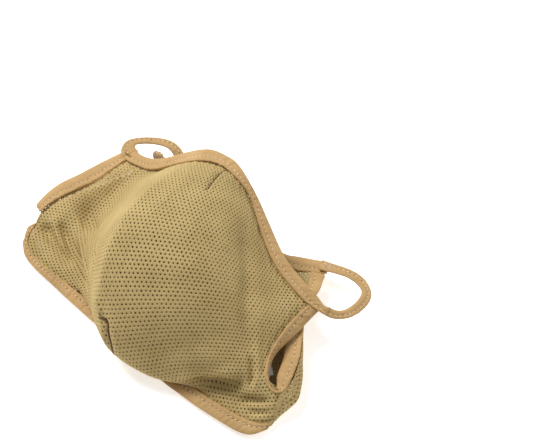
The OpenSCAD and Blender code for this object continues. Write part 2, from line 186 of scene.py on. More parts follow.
NAPE_L_SEWN = [[-88,56.6,7.4],[-76,55.6,5.2],[-62,52,3.6],[-52,50,2.8],[-41,48.4,2],[-20,46,1.5],[0,45.2,1.5]]
NAPE_L_FREE = [[-92,65,9],[-78,65,6],[-64,61.4,4],[-52,59.4,3],[-41,58,2.2],[-20,55.4,1.4],[0,54.6,1.3]]
LOOP_R_OUT = [[106.8,22.5,28.2],[113,26,26.4],[119,35,24],[121,47,22],[119,58,20],[113.5,65,18.4],[105,69.6,17],[96,70.6,16.4],[87,69.2,15.8],[77,66.6,14.8],[70,65.6,13.6]]
LOOP_R_IN = [[104.8,29.2,28.2],[109.5,31.8,26.4],[112.6,38,24.4],[113.6,48,22.4],[112,56,20.6],[108,60.4,19],[101,62.6,18],[94.4,62.8,17.4],[88,61.4,16.6],[79,58.6,15.4],[72.6,57.4,13.4]]
LOOP_L_OUT = [[-104.9,38.3,20.4],[-110.6,41.2,20.4],[-113.6,46.4,20.6],[-113.8,52.6,20.4],[-109.4,60,20],[-102.4,67,19.4],[-94,73,18.4],[-85.4,76,16.6],[-77,75,13.6],[-71,70,10.4],[-67.4,62,8.6]]
LOOP_L_IN = [[-100.7,49.3,21.8],[-102.8,49.8,21.4],[-105,51.2,21],[-105.8,54,20.6],[-102.6,58,20.2],[-97,62.6,19.6],[-90,66.6,18.8],[-84.6,68.2,17],[-80,67.4,14],[-77,64,10.8],[-75,58,9]]


# -------------------------------------------------------------------- creases
def draw(surf, lines):
    """Folds drawn on a surface as (u, v) lines, turned into fine polylines in space."""
    out = []
    for uv, width, depth in lines:
        uv = np.array([(u, v, 0) for u, v in uv], float)
        c = Curve(uv, shift=False).ev(np.linspace(0, len(uv) - 1, 9 * (len(uv) - 1) + 1))
        out.append((surf.ev(c[:, 0], c[:, 1])[0], width, depth))
    return out


def creases(p, lines):
    """Height in mm at the points p of soft folds: (line in space, width, depth)."""
    out = np.zeros(len(p))
    for pts, width, depth in lines:
        near = np.where((np.abs(p - pts.mean(0)) < (np.ptp(pts, axis=0) / 2 + 3 * width + 2)).all(1))[0]
        q = p[near]
        best, where = np.full(len(q), 1e9), np.zeros(len(q))
        for i in range(len(pts) - 1):
            a, d = pts[i], pts[i + 1] - pts[i]
            t = np.clip(((q - a) @ d) / (d @ d), 0, 1)
            dist = np.linalg.norm(q - a - t[:, None] * d, axis=1)
            m_ = dist < best
            best[m_], where[m_] = dist[m_], (i + t[m_]) / (len(pts) - 1)
        fade = smooth(where / 0.28) * smooth((1 - where) / 0.28) * 0.9 + 0.1
        out[near] += depth * fade * np.exp(-((best / width) ** 2))
    return out


FACE_LINES = [
    # the wing: two hollows, the swell between them, and the fold against the cup
    ([(0.46, 0.68), (0.99, 0.89), (1.66, 1.0), (2.16, 1.14), (2.43, 1.3)], 4.6, -5.8),
    ([(1.05, 1.57), (1.39, 1.82), (2.0, 1.8), (2.54, 1.66), (2.88, 1.49), (3.2, 1.36)], 4.2, -6.6),
    ([(0.7, 1.36), (0.96, 1.39), (1.65, 1.4), (2.13, 1.34)], 3.0, 2.0),
    ([(0.5, 2.72), (1.07, 2.95), (1.57, 3.0), (1.98, 2.6), (2.31, 2.2), (2.6, 1.94), (2.82, 1.78), (3.0, 1.68), (3.2, 1.58)], 2.6, 2.8),
    ([(1.2, 4.2), (1.53, 3.85), (2.07, 3.6), (2.47, 3.21), (2.86, 2.76), (3.08, 2.38), (3.2, 1.9)], 4.5, -3.2),
    ([(1.5, 4.9), (1.44, 5.41), (1.37, 6.28), (1.5, 6.7)], 5.0, -1.2),
    # under the cup, on the chin side
    ([(5.3, 1.1), (5.61, 1.22), (5.9, 1.14), (6.3, 1.34), (6.77, 1.75), (7.3, 2.18)], 4.6, -4.8),
    ([(5.2, 1.5), (5.48, 1.45), (5.93, 1.66), (6.4, 2.07), (7.1, 2.6)], 3.4, 1.8),
    ([(7.04, 3.6), (7.31, 2.97), (7.45, 2.5), (7.38, 2.02), (7.0, 1.5)], 2.2, -2.6),
    ([(7.1, 4.5), (7.37, 3.75), (7.6, 2.88), (7.64, 2.06), (7.1, 1.35)], 2.4, 1.8),
    ([(6.4, 0.7), (6.7, 0.8), (6.95, 0.98), (7.4, 1.0), (7.85, 0.85)], 3.0, -3.2),
    ([(6.3, 0.46), (6.98, 0.74), (7.5, 0.74), (7.98, 0.62)], 2.0, 0.9),
    ([(6.8, 0.44), (7.05, 0.46), (7.42, 0.48), (7.95, 0.40)], 1.9, -1.5),
    ([(6.9, 0.22), (7.4, 0.22), (7.9, 0.16)], 1.3, 0.9),
    # the right flank of the cup
    ([(5.4, 6.4), (5.49, 6.11), (5.79, 5.79), (6.1, 5.39), (6.38, 4.77), (6.67, 4.1), (6.95, 3.45), (7.0, 2.9)], 6.0, -2.6),
    ([(4.9, 1.6), (5.3, 2.3), (6.0, 3.0), (6.4, 3.8)], 7.0, -1.0),
    # the crest runs from the nose to the chin
    ([(3.16, 6.58), (3.43, 5.55), (3.4, 4.65), (3.46, 3.78), (3.6, 3.2), (3.77, 2.76), (3.92, 2.42)], 5.0, 1.3),
    ([(3.72, 2.62), (3.86, 2.44), (3.98, 2.42)], 3.0, 2.4),
]
NOSE_DART = [(4.19, 6.98), (4.23, 6.68), (4.26, 6.49), (4.31, 6.29), (4.34, 6.14), (4.37, 6.01), (4.36, 5.94), (4.33, 5.90)]
CHIN_DART = [(3.91, 2.27), (4.0, 2.33), (4.07, 2.33), (4.11, 2.28), (4.12, 2.20), (4.15, 2.04), (4.18, 1.87), (4.2, 1.68), (4.2, 1.40)]
side_step = lambda line, du, dv: [(u + du, v + dv) for u, v in line]
FACE_LINES += [
    (NOSE_DART, 0.9, -1.7),
    (side_step(NOSE_DART, -0.16, 0.05), 1.3, 0.55),
    (side_step(NOSE_DART, 0.14, -0.05), 1.4, -0.35),
    (CHIN_DART, 1.9, -2.3),
    (side_step(CHIN_DART, -0.13, -0.06), 1.6, 1.1),
    (side_step(CHIN_DART, 0.16, 0.02), 2.0, 0.5),
]
FACE_FOLDS = None


def face_height(p, uv):
    global FACE_FOLDS
    if FACE_FOLDS is None:
        FACE_FOLDS = draw(face, FACE_LINES)
    u, v = uv[:, 0], uv[:, 1]
    w = creases(p, FACE_FOLDS)
    x, y = p[:, 0], p[:, 1]
    w += 0.22 * np.sin(x * 0.19 + 0.6 * np.sin(y * 0.11)) * np.sin(y * 0.16 + 1.3)
    # the fold edges of the wings hang free of the folds, and stay even
    w *= np.where(v < 1.6, smooth((u + 0.25) / 0.6) * smooth((8.1 - u) / 0.9), 1.0)
    # puckers where the tape gathers the mesh, and the dip where it goes under the tape
    slit = np.minimum(np.abs(u) + 9 * (v < 1.0), np.abs(8 - u) + 9 * (v < 0.8)) * 9.0
    rim = np.minimum(np.abs(7 - v) * 11.0, np.abs(v) * 16.0)
    gap = np.minimum(slit, rim)
    w += 0.34 * np.exp(-gap / 3.0) * np.sin(0.85 * (x + y) + 1.7 * np.sin(0.21 * x))
    w -= 0.75 * np.exp(-((gap / 1.3) ** 2))
    return w


def back_height(p, uv):
    x, y = p[:, 0], p[:, 1]
    flat = smooth((p[:, 2] - 0.9) / 4)
    w = 0.35 * flat * np.sin(x * 0.33 + 0.8 * np.sin(y * 0.13)) * np.sin(y * 0.2)
    return w


# ------------------------------------------------------------ flattened cloth
def flatten(surf, nu, nv, ext):
    """A nearly even map of the cloth to the plane: as-rigid-as-possible, on a grid
    of (u, v). ext is how far the grid runs past each edge, in parameter units."""
    us = np.linspace(-ext[0], surf.c - 1 + ext[1], nu)
    vs = np.linspace(-ext[2], surf.r - 1 + ext[3], nv)
    uu, vv = np.meshgrid(us, vs)
    p, _, _ = surf.ev(uu, vv)
    g = p.reshape(nv, nu, 3)
    s = np.concatenate([np.zeros((nv, 1)), np.cumsum(np.linalg.norm(np.diff(g, axis=1), axis=2), axis=1)], 1)
    s -= s[:, [nu // 2]]
    t = np.concatenate([[0], np.cumsum(np.linalg.norm(np.diff(g[:, nu // 2], axis=0), axis=1))])
    q = np.stack([s, np.repeat(t[:, None], nu, 1)], 2).reshape(-1, 2)
    idx = np.arange(nu * nv).reshape(nv, nu)
    a, b, c, d = idx[:-1, :-1].ravel(), idx[:-1, 1:].ravel(), idx[1:, 1:].ravel(), idx[1:, :-1].ravel()
    tri = np.concatenate([np.stack([a, b, c], 1), np.stack([a, c, d], 1)])
    e1, e2 = p[tri[:, 1]] - p[tri[:, 0]], p[tri[:, 2]] - p[tri[:, 0]]
    x = unit(e1)
    y = unit(np.cross(np.cross(e1, e2), e1))
    loc = np.zeros((len(tri), 3, 2))
    loc[:, 1, 0] = (e1 * x).sum(1)
    loc[:, 2, 0], loc[:, 2, 1] = (e2 * x).sum(1), (e2 * y).sum(1)
    cot = np.zeros((len(tri), 3))
    for k in range(3):
        i, j, o = k, (k + 1) % 3, (k + 2) % 3
        m1, m2 = loc[:, i] - loc[:, o], loc[:, j] - loc[:, o]
        cot[:, k] = (m1 * m2).sum(1) / np.maximum(np.abs(m1[:, 0] * m2[:, 1] - m1[:, 1] * m2[:, 0]), 1e-6)
    cot = np.clip(cot, 0.02, 8)
    n = len(p)
    lap = np.zeros((n, n))
    for k in range(3):
        i, j = tri[:, k], tri[:, (k + 1) % 3]
        w = cot[:, k]
        np.add.at(lap, (i, i), w)
        np.add.at(lap, (j, j), w)
        np.add.at(lap, (i, j), -w)
        np.add.at(lap, (j, i), -w)
    lap[0, :] = 0
    lap[0, 0] = 1
    inv = np.linalg.inv(lap)
    for _ in range(24):
        cov = np.zeros((len(tri), 2, 2))
        for k in range(3):
            j = (k + 1) % 3
            du, dx = q[tri[:, k]] - q[tri[:, j]], loc[:, k] - loc[:, j]
            cov += cot[:, k, None, None] * du[:, :, None] * dx[:, None, :]
        ang = np.arctan2(cov[:, 1, 0] - cov[:, 0, 1], cov[:, 0, 0] + cov[:, 1, 1])
        rot = np.stack([np.stack([np.cos(ang), -np.sin(ang)], 1), np.stack([np.sin(ang), np.cos(ang)], 1)], 1)
        rhs = np.zeros((n, 2))
        for k in range(3):
            j = (k + 1) % 3
            e = cot[:, k, None] * np.einsum("tij,tj->ti", rot, loc[:, k] - loc[:, j])
            np.add.at(rhs, tri[:, k], e)
            np.add.at(rhs, tri[:, j], -e)
        rhs[0] = q[0]
        q = inv @ rhs
    uv = np.stack([uu.ravel(), vv.ravel()], 1)
    return q, uv, tri


def locate(pts, q, uv, tri):
    """The (u, v) of flat points; rows off the cloth come back as nan."""
    out = np.full((len(pts), 2), np.nan)
    order = np.argsort(pts[:, 0])
    xs = pts[order, 0]
    for t in tri:
        a, b, c = q[t]
        lo, hi = np.minimum(np.minimum(a, b), c), np.maximum(np.maximum(a, b), c)
        i0, i1 = np.searchsorted(xs, lo[0]), np.searchsorted(xs, hi[0], side="right")
        if i0 == i1:
            continue
        k = order[i0:i1]
        k = k[(pts[k, 1] >= lo[1]) & (pts[k, 1] <= hi[1])]
        if not len(k):
            continue
        d1, d2 = b - a, c - a
        det = d1[0] * d2[1] - d1[1] * d2[0]
        r = pts[k] - a
        s = (r[:, 0] * d2[1] - r[:, 1] * d2[0]) / det
        w = (d1[0] * r[:, 1] - d1[1] * r[:, 0]) / det
        ok = (s >= -1e-6) & (w >= -1e-6) & (s + w <= 1 + 1e-6)
        if ok.any():
            out[k[ok]] = uv[t[0]] + s[ok, None] * (uv[t[1]] - uv[t[0]]) + w[ok, None] * (uv[t[2]] - uv[t[0]])
    return out


PITCH, ROW, HOLE = 2.76, 2.53, 0.60


def make_object(name, verts, faces, mat, uv=None, sharp=False):
    me = bpy.data.meshes.new(name)
    me.from_pydata([tuple(v) for v in np.asarray(verts) * MM], [], [tuple(int(i) for i in f) for f in faces])
    me.update()
    if uv is not None:
        layer = me.uv_layers.new(name="flat")
        loops = np.empty(len(me.loops), dtype=np.int32)
        me.loops.foreach_get("vertex_index", loops)
        layer.uv.foreach_set("vector", np.asarray(uv, np.float32)[loops].ravel())
    me.validate()
    if not sharp:
        me.polygons.foreach_set("use_smooth", [True] * len(me.polygons))
    for one in mat if isinstance(mat, (list, tuple)) else [mat]:
        me.materials.append(one)
    ob = bpy.data.objects.new(name, me)
    bpy.context.scene.collection.objects.link(ob)
    return ob


def knit(names, surf, lim, grow, height, mat, grid=(46, 38), lattice=None, turn=0.0, cut=None):
    """Cloth with real perforations over surf, kept within lim (u0, u1, v0, v1). With two
    names it comes back as two pieces that meet between cells, near u = cut."""
    q, uv, tri = flatten(surf, grid[0], grid[1], grow)
    # rows of holes run level across the picture, on the bias of the cloth
    mid = np.array([[(surf.c - 1) * lattice[0], (surf.r - 1) * lattice[1]]])
    p0, pu, pv = surf.ev(mid[:, 0], mid[:, 1])
    n0 = unit(np.cross(pu, pv))[0]
    d = unit(np.cross(up, n0))
    d = d * np.sign(d @ right)
    near = np.argmin(((uv - mid) ** 2).sum(1))
    jac = np.linalg.lstsq(np.stack([pu[0], pv[0]], 1), d, rcond=None)[0]
    k2 = np.argmin(((uv - uv[near] - jac * 12.0) ** 2).sum(1))
    dir2 = unit(q[k2] - q[near])
    ang = math.atan2(dir2[1], dir2[0]) + turn
    rot = np.array([[math.cos(ang), -math.sin(ang)], [math.sin(ang), math.cos(ang)]])
    lo, hi = q.min(0), q.max(0)
    cen = (lo + hi) / 2
    reach = np.linalg.norm(hi - lo) / 2 + 6
    nj, ni = int(reach / ROW) + 1, int(reach / PITCH) + 1
    jj, ii = np.meshgrid(np.arange(-nj, nj + 1), np.arange(-ni, ni + 1), indexing="ij")
    base = np.stack([(ii + 0.5 * (jj % 2)) * PITCH, jj * ROW], 2).reshape(-1, 2)
    yt = (PITCH**2 / 4 + ROW**2) / (2 * ROW)
    ys = (ROW**2 - PITCH**2 / 4) / (2 * ROW)
    six = np.array([[0, yt], [-PITCH / 2, ys], [-PITCH / 2, -ys], [0, -yt], [PITCH / 2, -ys], [PITCH / 2, ys]])
    u0, u1, v0, v1 = lim

    def inside(w, slack=0.0):
        return (w[:, 0] > u0 - slack) & (w[:, 0] < u1 + slack) & (w[:, 1] > v0 - slack) & (w[:, 1] < v1 + slack)

    c_flat = base @ rot.T + cen
    c_uv = locate(c_flat, q, uv, tri)
    rough = ~np.isnan(c_uv[:, 0])
    base, c_flat = base[rough], c_flat[rough]
    corner = base[:, None, :] + six[None]
    key = np.round(corner.reshape(-1, 2) * 50).astype(np.int64)
    _, first, inv = np.unique(key, axis=0, return_index=True, return_inverse=True)
    inv = inv.reshape(-1)
    shared = corner.reshape(-1, 2)[first]
    s_uv = locate(shared @ rot.T + cen, q, uv, tri)
    cell = inv.reshape(-1, 6)
    good = ~np.isnan(s_uv[cell][:, :, 0]).any(1)
    anyin = inside(np.nan_to_num(s_uv, nan=-99)).reshape(-1)[cell].any(1)
    good &= anyin
    base, cell = base[good], cell[good]
    n = len(base)
    jit = 1 + 0.07 * rng.standard_normal(n)
    off = 0.05 * rng.standard_normal((n, 2))
    dirs = unit(six)
    r1 = base[:, None] + six[None] * 0.66
    rad = HOLE * np.clip(jit, 0.85, 1.15)
    r2 = base[:, None] + off[:, None] + dirs[None] * rad[:, None, None]
    r3 = base[:, None] + off[:, None] + dirs[None] * (rad * 0.90)[:, None, None]
    rings = np.concatenate([r1, r2, r3], 1).reshape(-1, 2)
    r_uv = locate(rings @ rot.T + cen, q, uv, tri)
    bad = np.isnan(r_uv[:, 0]).reshape(n, 18).any(1)
    base, cell, n = base[~bad], cell[~bad], int((~bad).sum())
    r_uv = r_uv.reshape(-1, 18, 2)[~bad]
    used, cell2 = np.unique(cell, return_inverse=True)
    cell2 = cell2.reshape(cell.shape)
    all_uv = np.concatenate([s_uv[used], s_uv[used], r_uv.reshape(-1, 2)])
    lift = np.concatenate([np.full(len(used), 0.10), np.full(len(used), -0.72), np.tile(np.repeat([0.04, -0.16, -0.56], 6), n)])
    cl = all_uv.copy()
    cl[:, 0], cl[:, 1] = np.clip(cl[:, 0], u0, u1), np.clip(cl[:, 1], v0, v1)
    p, pu, pv = surf.ev(cl[:, 0], cl[:, 1])
    nn = unit(np.cross(pu, pv))
    w = height(p, cl)
    p = p + nn * (w + lift)[:, None]
    flat_uv = np.concatenate([shared[used], shared[used], rings.reshape(-1, 18, 2)[~bad].reshape(-1, 2)]) * MM * 4 + 0.5
    o = 2 * len(used)
    mid_u = r_uv[:, :6, 0].mean(1)
    out = []
    for part, pick in enumerate([np.ones(n, bool)] if cut is None else [mid_u < cut, mid_u >= cut]):
        ids = np.where(pick)[0]
        faces = []
        for k in range(6):
            k2 = (k + 1) % 6
            a0, a1 = cell2[ids, k], cell2[ids, k2]
            b0, b1 = o + ids * 18 + k, o + ids * 18 + k2
            e0, e1 = a0 + len(used), a1 + len(used)
            for quad in ((a0, a1, b1, b0), (b0, b1, b1 + 6, b0 + 6), (b0 + 6, b1 + 6, b1 + 12, b0 + 12), (b0 + 12, b1 + 12, e1, e0)):
                faces.append(np.stack(quad, 1))
        # the cut edge all round joins the upper and lower side of the cloth
        a0 = cell2[ids].reshape(-1)
        a1 = np.roll(cell2[ids], -1, axis=1).reshape(-1)
        _, back_to, times = np.unique(np.sort(np.stack([a0, a1], 1), axis=1), axis=0, return_inverse=True, return_counts=True)
        lone = times[back_to.reshape(-1)] == 1
        a0, a1 = a0[lone], a1[lone]
        faces.append(np.stack([a1, a0, a0 + len(used), a1 + len(used)], 1))
        faces = np.concatenate(faces)
        mine, faces = np.unique(faces, return_inverse=True)
        faces = faces.reshape(-1, 4)
        out.append(make_object(names[part], p[mine], faces, mat, flat_uv[mine]))
        size = np.ptp(base[ids], axis=0) + [PITCH, ROW]
        out[-1]["of_cut"] = [float(size[0]) * MM, float(size[1]) * MM, len(ids) * PITCH * ROW * MM * MM]
        print("knit", names[part], "cells", len(ids), "tris", 2 * len(faces))
    return out


# ------------------------------------------------------------------ materials
def srgb(r, g, b):
    f = lambda c: ((c / 255) / 12.92 if c / 255 <= 0.04045 else ((c / 255 + 0.055) / 1.055) ** 2.4)
    return (f(r), f(g), f(b), 1.0)


def fabric(name, low, high, fine, fine_k, bump, rough, sheen, wave=None, patch=45.0):
    mat = bpy.data.materials.new(name)
    mat.use_nodes = True
    nt = mat.node_tree
    bsdf = nt.nodes["Principled BSDF"]
    bsdf.inputs["Roughness"].default_value = rough
    bsdf.inputs["Specular IOR Level"].default_value = 0.25
    bsdf.inputs["Sheen Weight"].default_value = sheen
    bsdf.inputs["Sheen Roughness"].default_value = 0.45
    bsdf.inputs["Sheen Tint"].default_value = high
    tc = nt.nodes.new("ShaderNodeTexCoord")
    big = nt.nodes.new("ShaderNodeTexNoise")
    big.inputs["Scale"].default_value = patch
    big.inputs["Detail"].default_value = 3.0
    nt.links.new(tc.outputs["Object"], big.inputs["Vector"])
    small = nt.nodes.new("ShaderNodeTexNoise")
    small.inputs["Scale"].default_value = fine
    small.inputs["Detail"].default_value = 2.0
    nt.links.new(tc.outputs["Object"], small.inputs["Vector"])
    mixf = nt.nodes.new("ShaderNodeMath")
    mixf.operation = "MULTIPLY_ADD"
    mixf.inputs[1].default_value = fine_k
    nt.links.new(small.outputs["Fac"], mixf.inputs[0])
    nt.links.new(big.outputs["Fac"], mixf.inputs[2])
    ramp = nt.nodes.new("ShaderNodeValToRGB")
    ramp.color_ramp.elements[0].position = 0.42 + 0.5 * fine_k - 0.12
    ramp.color_ramp.elements[1].position = 0.42 + 0.5 * fine_k + 0.26
    ramp.color_ramp.elements[0].color = low
    ramp.color_ramp.elements[1].color = high
    nt.links.new(mixf.outputs[0], ramp.inputs["Fac"])
    nt.links.new(ramp.outputs["Color"], bsdf.inputs["Base Color"])
    b1 = nt.nodes.new("ShaderNodeBump")
    b1.inputs["Strength"].default_value = bump
    b1.inputs["Distance"].default_value = 0.0002
    nt.links.new(small.outputs["Fac"], b1.inputs["Height"])
    if wave:
        wv = nt.nodes.new("ShaderNodeTexWave")
        wv.wave_type = "BANDS"
        wv.bands_direction = "DIAGONAL"
        wv.inputs["Scale"].default_value = wave
        wv.inputs["Distortion"].default_value = 1.5
        nt.links.new(tc.outputs["Object"], wv.inputs["Vector"])
        b2 = nt.nodes.new("ShaderNodeBump")
        b2.inputs["Strength"].default_value = bump * 0.6
        b2.inputs["Distance"].default_value = 0.00012
        nt.links.new(wv.outputs["Fac"], b2.inputs["Height"])
        nt.links.new(b1.outputs["Normal"], b2.inputs["Normal"])
        nt.links.new(b2.outputs["Normal"], bsdf.inputs["Normal"])
    else:
        nt.links.new(b1.outputs["Normal"], bsdf.inputs["Normal"])
    rr = nt.nodes.new("ShaderNodeMapRange")
    rr.inputs["To Min"].default_value = rough - 0.08
    rr.inputs["To Max"].default_value = min(1.0, rough + 0.08)
    nt.links.new(small.outputs["Fac"], rr.inputs["Value"])
    nt.links.new(rr.outputs["Result"], bsdf.inputs["Roughness"])
    return mat


MESH = fabric("tan_mesh_knit", srgb(176, 152, 100), srgb(192, 168, 114), 2600.0, 0.5, 0.35, 0.85, 0.25)
TAPE = fabric("tan_binding_tape", srgb(180, 146, 97), srgb(196, 161, 110), 2200.0, 0.35, 0.22, 0.72, 0.30, wave=900.0)
THREAD = fabric("tan_thread", srgb(212, 184, 146), srgb(236, 214, 182), 3500.0, 0.5, 0.4, 0.6, 0.2)
TACK = fabric("bartack_thread", srgb(128, 96, 60), srgb(168, 132, 88), 3500.0, 0.5, 0.4, 0.6, 0.2)
# painted shade: this dark brown stands for the shadow in the needle holes and along the dart folds
SEAM_SHADE = fabric("seam_and_hole_shade", srgb(74, 50, 34), srgb(112, 80, 54), 3500.0, 0.5, 0.4, 0.7, 0.1)
LABEL = fabric("blank_label", srgb(186, 190, 198), srgb(214, 217, 222), 3000.0, 0.4, 0.2, 0.42, 0.2, wave=1400.0)
# painted shade: the dark brown seen behind the cup's holes
LINING_SHADE = fabric("lining_in_shade", srgb(96, 74, 42), srgb(112, 88, 52), 2600.0, 0.5, 0.3, 0.9, 0.1)
# the raw end's own paler tone, made lighter still as painted light where the tails sit in shade
RAW_AND_LIGHT = fabric("raw_tape_edge_painted_light", srgb(226, 192, 150), srgb(242, 214, 178), 2600.0, 0.5, 0.4, 0.85, 0.4)


# ------------------------------------------------------------------ the tapes
def stations(sewn, free, ds, t0=None, t1=None):
    a, b = Curve(sewn), Curve(free)
    n = len(sewn) - 1
    tt = np.linspace(t0 or 0, n if t1 is None else t1, 600)
    mid = (a.ev(tt) + b.ev(tt)) / 2
    s = np.concatenate([[0], np.cumsum(np.linalg.norm(np.diff(mid, axis=0), axis=1))])
    k = max(6, int(round(s[-1] / ds)))
    ss = np.linspace(0, s[-1], k + 1)
    t = np.interp(ss, s, tt)
    p, f = a.ev(t), b.ev(t)
    e = unit(f - p)
    mid = (p + f) / 2
    tan = unit(np.gradient(mid, axis=0))
    nrm = unit(np.cross(tan, e))
    return p, f, e, nrm, ss, t


def profile(w, thick):
    """Half the folded tape's section, sewn edge to free edge: across and height, mm."""
    k = thick / 2.3
    top = [(0.0, 0.25), (0.15, 0.70), (0.8, 1.0), (1.8, 0.94), (2.4, 0.62), (2.8, 0.36), (3.15, 0.55), (3.7, 0.92)]
    top += [(0.60 * w, 1.16), (0.72 * w, 1.14), (w - 1.2, 0.92), (w - 0.5, 0.66), (w - 0.1, 0.32)]
    return [(x, y * k) for x, y in top]


def tape(name, sewn, free, mat, thick=2.3, ds=0.7, pucker=0.2, t0=None, t1=None, seed=1, wave=0.25, caps=True):
    p, f, e, nrm, ss, tt = stations(sewn, free, ds, t0, t1)
    wid = np.linalg.norm(f - p, axis=1)
    r = np.random.default_rng(seed)
    ph = r.uniform(0, 6.28, 8)
    lam = r.uniform(3.4, 8.5, 4)
    rip = sum(np.sin(2 * np.pi * ss / lam[i] + ph[i] + 1.3 * np.sin(ss * 0.13 * (i + 1) + ph[i + 4])) for i in range(4)) / 2.2
    slow = np.sin(ss * 0.09 + ph[5]) * 0.5 + np.sin(ss * 0.23 + ph[6]) * 0.3
    stitch = np.sin(2 * np.pi * ss / 2.9)
    rows = []
    base = profile(8.0, thick)
    for sgn in (1, -1):
        half = []
        for x, h in base:
            x_ = x * wid / 8.0
            near = np.exp(-(((x - 4.6) / 1.9) ** 2))
            lipw = np.exp(-(((x - 0.7) / 1.2) ** 2))
            hh = h + pucker * (rip * near * 0.9 + rip * 0.25) * (0.35 if x < 0.3 or x > 7.6 else 1.0)
            hh = hh + lipw * (0.10 * stitch + 0.12 * rip * pucker / 0.2)
            hh = np.maximum(hh, 0.12)
            xx = x_ + (lipw * (0.10 * stitch + 0.16 * rip * pucker / 0.2)) + (wave * slow * (x / 8.0))
            half.append(p + e * xx[:, None] + nrm * (sgn * hh)[:, None])
        rows.append(half)
    edge = p + e * (wid + wave * slow)[:, None]
    ring = rows[0] + [edge] + rows[1][::-1]
    v = np.stack(ring, 1)
    n, m_ = v.shape[:2]
    idx = np.arange(n * m_).reshape(n, m_)
    faces = []
    for k in range(m_):
        k2 = (k + 1) % m_
        faces.append(np.stack([idx[:-1, k], idx[1:, k], idx[1:, k2], idx[:-1, k2]], 1))
    faces = [tuple(q) for q in np.concatenate(faces)]
    if caps:
        faces.append(tuple(idx[0]))
        faces.append(tuple(idx[-1][::-1]))
    u = np.stack([np.repeat(ss[:, None], m_, 1), np.repeat(np.arange(m_)[None], n, 0) * 0.6], 2).reshape(-1, 2) * MM * 3
    ob = make_object(name, v.reshape(-1, 3), faces, mat, u)
    ob["of_len"] = float(ss[-1])
    line = p + e * (0.35 * wid)[:, None]
    return ob, (line, nrm, e, ss, wid)


def stitches(name, track, sides, high=0.44, pitch=3.5, rad=0.36, t_from=0.0, t_to=None, mats=None):
    """Lockstitches along a tape's stitch line, with a sunk needle hole between each two, coloured dark brown as painted
    shade.
    """
    line, nrm, e, ss, wid = track
    end = ss[-1] if t_to is None else t_to
    count = int((end - t_from) / pitch)
    verts, faces, slot = [], [], []

    def at(s):
        out = [np.interp(s, ss, c[:, k]) for c in (line, nrm, e) for k in range(3)]
        a = np.stack(out, -1)
        return a[..., :3], unit(a[..., 3:6]), unit(a[..., 6:9])

    for sgn in sides:
        for i in range(count):
            s0 = t_from + i * pitch
            xs = np.linspace(0.0, 1.0, 7)
            c, n_, e_ = at(s0 + (0.24 + 0.56 * xs) * pitch)
            bow = np.sin(np.pi * xs) * 0.22 - 0.10
            sway = 0.07 * math.sin(i * 12.9898)
            c = c + n_ * (sgn * (high + bow))[:, None] + e_ * sway
            rr = rad * np.array([0.5, 0.92, 1.0, 1.04, 1.0, 0.92, 0.5]) * (1 + 0.06 * math.sin(i * 78.2))
            tan = unit(np.gradient(c, axis=0))
            side = unit(np.cross(tan, n_ * sgn))
            upv = np.cross(side, tan)
            o = len(verts)
            for k in range(7):
                for j in range(6):
                    a = math.pi / 3 * j
                    verts.append(c[k] + rr[k] * (math.cos(a) * side[k] * 1.15 + math.sin(a) * upv[k]))
            for k in range(6):
                for j in range(6):
                    j2 = (j + 1) % 6
                    faces.append((o + 6 * k + j, o + 6 * k + j2, o + 6 * k + 6 + j2, o + 6 * k + 6 + j))
                    slot.append(0)
            faces.append(tuple(o + j for j in range(5, -1, -1)))
            faces.append(tuple(o + 36 + j for j in range(6)))
            slot += [0, 0]
            # the needle hole, a small dent coloured dark brown: painted shade
            c1, n1, e1 = at(np.array([s0 + 0.02 * pitch]))
            c1, n1, e1 = c1[0], n1[0] * sgn, e1[0]
            t1 = np.cross(n1, e1)
            o = len(verts)
            verts.append(c1 + n1 * (high + 0.10))
            for j in range(8):
                a = math.pi / 4 * j
                verts.append(c1 + n1 * (high - 0.16) + math.cos(a) * t1 * 0.20 * pitch + math.sin(a) * e1 * 0.42)
            for j in range(8):
                faces.append((o, o + 1 + j, o + 1 + (j + 1) % 8))
                slot.append(1)
    # the second slot, on the needle holes, is painted shade
    ob = make_object(name, verts, faces, mats or [THREAD, SEAM_SHADE])
    ob.data.polygons.foreach_set("material_index", slot)
    return ob


def tube(name, pts, rad, mat, sides=6, taper=False):
    pts = np.asarray(pts, float)
    tan = unit(np.gradient(pts, axis=0))
    side = unit(np.cross(tan, np.array([0.03, 0.02, 1.0])))
    upv = np.cross(side, tan)
    verts, faces = [], []
    for k in range(len(pts)):
        for j in range(sides):
            a = 2 * math.pi * j / sides
            r = rad * (0.25 + 0.75 * min(1, 6 * k / len(pts), 6 * (len(pts) - 1 - k) / len(pts))) if taper else rad
            verts.append(pts[k] + r * (math.cos(a) * side[k] + math.sin(a) * upv[k]))
    for k in range(len(pts) - 1):
        for j in range(sides):
            j2 = (j + 1) % sides
            faces.append((sides * k + j, sides * k + j2, sides * (k + 1) + j2, sides * (k + 1) + j))
    faces.append(tuple(range(sides - 1, -1, -1)))
    faces.append(tuple(sides * (len(pts) - 1) + j for j in range(sides)))
    return make_object(name, verts, faces, mat)


def bartack(name, a, b, nrm, width, mat, turns=13):
    """A dense zigzag of thread from a to b, standing on the tape."""
    a, b, nrm = np.array(a, float) + SHIFT, np.array(b, float) + SHIFT, unit(np.array(nrm, float))
    side = unit(np.cross(b - a, nrm)) * width / 2
    pts = []
    for i in range(turns * 2 + 1):
        q = a + (b - a) * i / (turns * 2)
        s = 1 if i % 2 else -1
        wob = 1 + 0.12 * math.sin(i * 3.7)
        pts += [q + side * s * wob - nrm * 0.25, q + side * s * 0.8 + nrm * 0.12]
    return tube(name, np.array(pts), 0.20, mat, 5)


# ---------------------------------------------------------------- the cloth
face = Surf(FACE)
side_r = Surf(SIDE_R)
side_l = Surf(SIDE_L)

